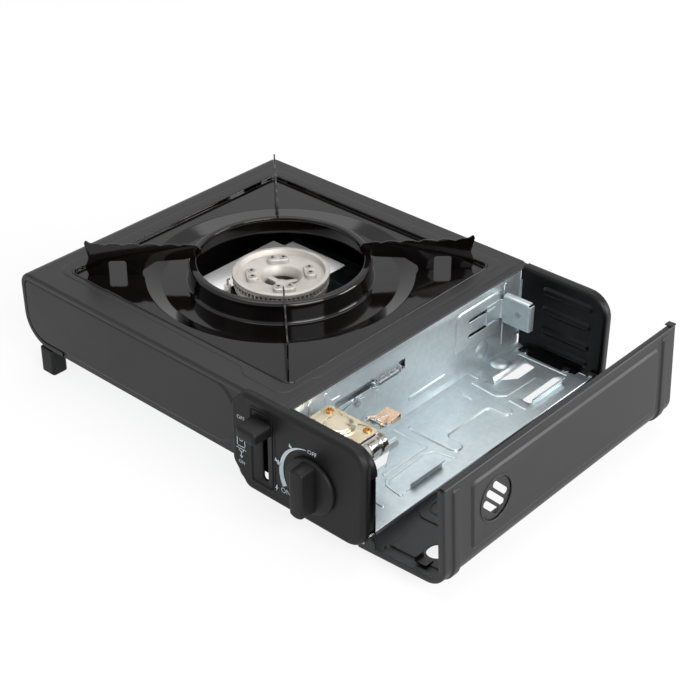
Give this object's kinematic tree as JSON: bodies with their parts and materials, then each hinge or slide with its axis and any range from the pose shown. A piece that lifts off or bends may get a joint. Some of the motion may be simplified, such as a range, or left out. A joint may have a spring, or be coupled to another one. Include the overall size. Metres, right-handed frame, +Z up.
{
  "type": "portable gas stove",
  "caption": "Portable cassette stove: a burner in a square spill tray with four blade pan supports, beside an open cartridge bay with a hinged lid, a gas knob and a cartridge lock lever.",
  "frame": {"origin": "centre of the whole object's footprint box with the lid open, on the surface it stands on", "axes": "+X to the right, from the burner to the cartridge bay; +Y to the back, away from the knob; +Z up"},
  "size_m": [0.4069, 0.2898, 0.1057],
  "materials": {
    "black_paint": "matte black baked paint",
    "enamel": "glossy dark enamel",
    "zinc_sheet": "galvanised, satin",
    "steel_fastener": "plated steel",
    "bright_steel": "bright plated sheet",
    "cast_alloy": "die-cast, satin",
    "regulator_alloy": "yellow-passivated casting",
    "brass": "turned brass",
    "copper": "drawn copper alloy",
    "black_plastic": "fine-grained moulded plastic",
    "seal_rubber": "moulded rubber",
    "ceramic": "glazed white ceramic",
    "lead_sheath": "silicone sleeve"
  },
  "bodies": {
    "housing": {"top_cover": "black_paint", "front_panel": "black_paint", "back_panel": "black_paint", "rear_end_wall": "black_paint", "front_end_plate": "black_paint", "bottom_plate": "zinc_sheet", "partition_wall": "zinc_sheet", "compartment_floor": "zinc_sheet", "burner_stand": "zinc_sheet", "panel_screws": "steel_fastener", "floor_screws": "steel_fastener", "lid_hinge_pins": "steel_fastener", "latch_pin": "steel_fastener", "tongue_pin": "steel_fastener", "lever_spring": "steel_fastener", "electrode": "steel_fastener", "reflector_plate": "bright_steel", "inlet_collar": "bright_steel", "burner_head": "cast_alloy", "burner_body": "cast_alloy", "mixing_tube": "cast_alloy", "regulator_body": "regulator_alloy", "diaphragm_cover": "regulator_alloy", "port_bushings": "brass", "jet_holder": "brass", "regulator_screws": "brass", "gas_pipe": "copper", "tongue_spring": "copper", "control_panel": "black_plastic", "foot_front_left": "black_plastic", "foot_front_right": "black_plastic", "foot_rear_left": "black_plastic", "foot_rear_right": "black_plastic", "piezo_igniter": "black_plastic", "diaphragm_gasket": "seal_rubber", "inlet_seal": "seal_rubber", "electrode_insulator": "ceramic", "ignition_lead": "lead_sheath"},
    "lid": {"lid": "black_paint", "lid_catch": "black_paint"},
    "knob": {"control_knob": "black_plastic", "knob_shaft": "steel_fastener"},
    "lever": {"lock_lever": "black_plastic"},
    "pusher": {"slide_bar": "zinc_sheet", "can_pusher": "zinc_sheet", "pusher_rivet": "steel_fastener"},
    "tongue": {"guide_tongue": "copper"},
    "latch": {"latch_lever": "zinc_sheet"},
    "tray": {"drip_tray": "enamel", "pan_support_1": "enamel", "pan_support_2": "enamel", "pan_support_3": "enamel", "pan_support_4": "enamel"}
  },
  "joints": [
    {"name": "lid_hinge", "type": "hinge", "parent": "housing", "child": "lid", "pos_m": [0.13553, 0.0135, 0.0125], "axis": [0, 1, 0], "range_deg": [-86.5, 0]},
    {"name": "knob_turn", "type": "hinge", "parent": "housing", "child": "knob", "pos_m": [0.09803, -0.1315, 0.042], "axis": [0, -1, 0], "range_deg": [0, 110]},
    {"name": "lever_slide", "type": "slide", "parent": "housing", "child": "lever", "axis": [0, 0, -1], "range_m": [0, 0.034]},
    {"name": "pusher_slide", "type": "slide", "parent": "housing", "child": "pusher", "axis": [0, -1, 0], "range_m": [0, 0.012], "stiffness_N_per_m": 80, "springref_m": -0.02, "deforming": ["lever_spring"]},
    {"name": "tongue_hinge", "type": "hinge", "parent": "housing", "child": "tongue", "pos_m": [0.10603, -0.073, 0.067], "axis": [1, 0, 0], "range_deg": [0, 12], "stiffness_Nm_per_rad": 0.02, "springref_deg": -20.05, "deforming": ["tongue_spring"]},
    {"name": "latch_hinge", "type": "hinge", "parent": "housing", "child": "latch", "pos_m": [0.06693, -0.0485, 0.0515], "axis": [1, 0, 0], "range_deg": [-8, 0]},
    {"name": "tray_lift", "type": "slide", "parent": "housing", "child": "tray", "axis": [0, 0, 1], "range_m": [0, 0.05]}
  ],
  "couplings": [
    {"joint": "pusher_slide", "follows": "lever_slide", "ratio": 0.35294}
  ]
}
